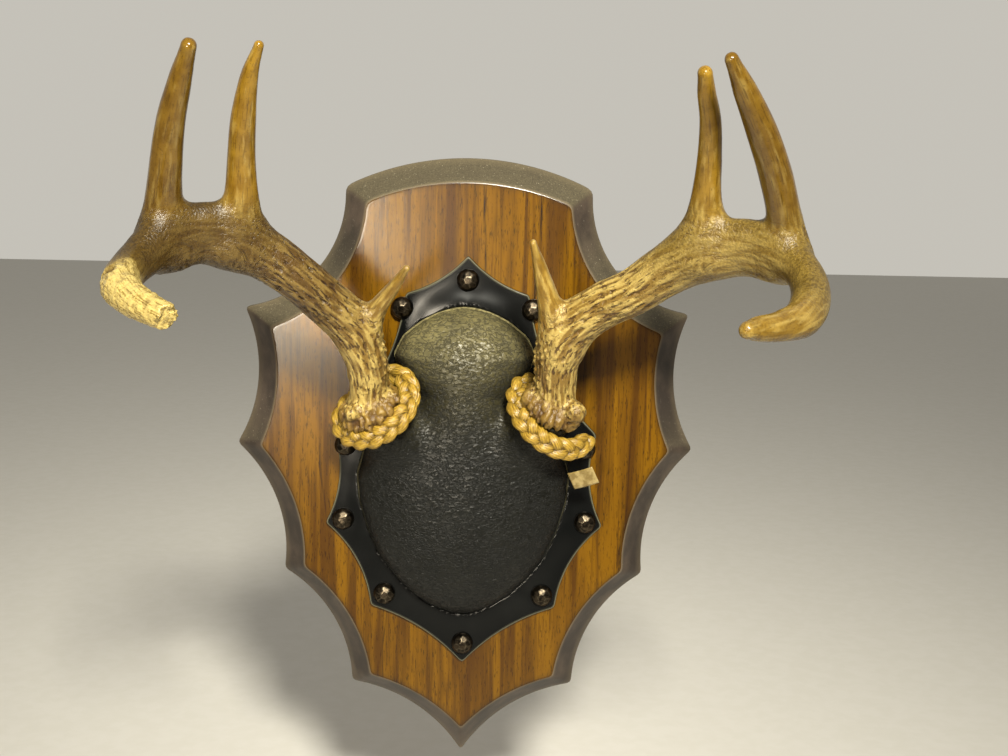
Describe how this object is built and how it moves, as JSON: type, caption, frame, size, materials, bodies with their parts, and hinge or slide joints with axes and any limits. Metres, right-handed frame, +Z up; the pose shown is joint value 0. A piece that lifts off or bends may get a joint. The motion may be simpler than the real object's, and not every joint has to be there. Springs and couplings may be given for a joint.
{
  "type": "antler plaque mount",
  "caption": "Antler plaque mount: a pair of young whitetail antlers on a leather-covered skull plate, with plaited cords and nailed trim, on a scalloped wooden shield that hangs on a wall.",
  "frame": {"origin": "on the board's flat back, midway across it and level with its widest points", "axes": "+Z up, +X to the right of somebody facing the mount, +Y into the wall, so the antlers stand out towards -Y"},
  "size_m": [0.283, 0.1978, 0.3478],
  "materials": {
    "stained_wood": "stained and varnished, with a dark bevelled edge",
    "zinc_steel": "thin zinc-plated strip",
    "black_trim": "glossy black, worn lighter at its edges",
    "black_leather": "grained black leather with a satin sheen and dust on top",
    "dark_bronze": "hammered and darkened",
    "antler": "natural antler, furrowed below and polished at the tines",
    "gold_cord": "glossy golden three-strand plait",
    "clear_tape": "yellowed clear tape"
  },
  "bodies": {
    "root": {"board": "stained_wood", "sawtooth_hanger": "zinc_steel", "trim_plate": "black_trim", "skull_cover": "black_leather", "nail_top": "dark_bronze", "nail_upper_left": "dark_bronze", "nail_upper_right": "dark_bronze", "nail_side_left": "dark_bronze", "nail_side_right": "dark_bronze", "nail_flank_left": "dark_bronze", "nail_flank_right": "dark_bronze", "nail_lower_left": "dark_bronze", "nail_lower_right": "dark_bronze", "nail_bottom": "dark_bronze", "antler_left_burr": "antler", "antler_left_beam_lower": "antler", "antler_left_brow_tine": "antler", "antler_left_beam_middle": "antler", "antler_left_second_tine": "antler", "antler_left_beam_upper": "antler", "antler_left_third_tine": "antler", "antler_left_beam_tip": "antler", "cord_left": "gold_cord", "antler_right_burr": "antler", "antler_right_beam_lower": "antler", "antler_right_brow_tine": "antler", "antler_right_beam_middle": "antler", "antler_right_second_tine": "antler", "antler_right_beam_upper": "antler", "antler_right_third_tine": "antler", "antler_right_beam_tip": "antler", "cord_right": "gold_cord", "tape_tab": "clear_tape"}
  },
  "joints": []
}
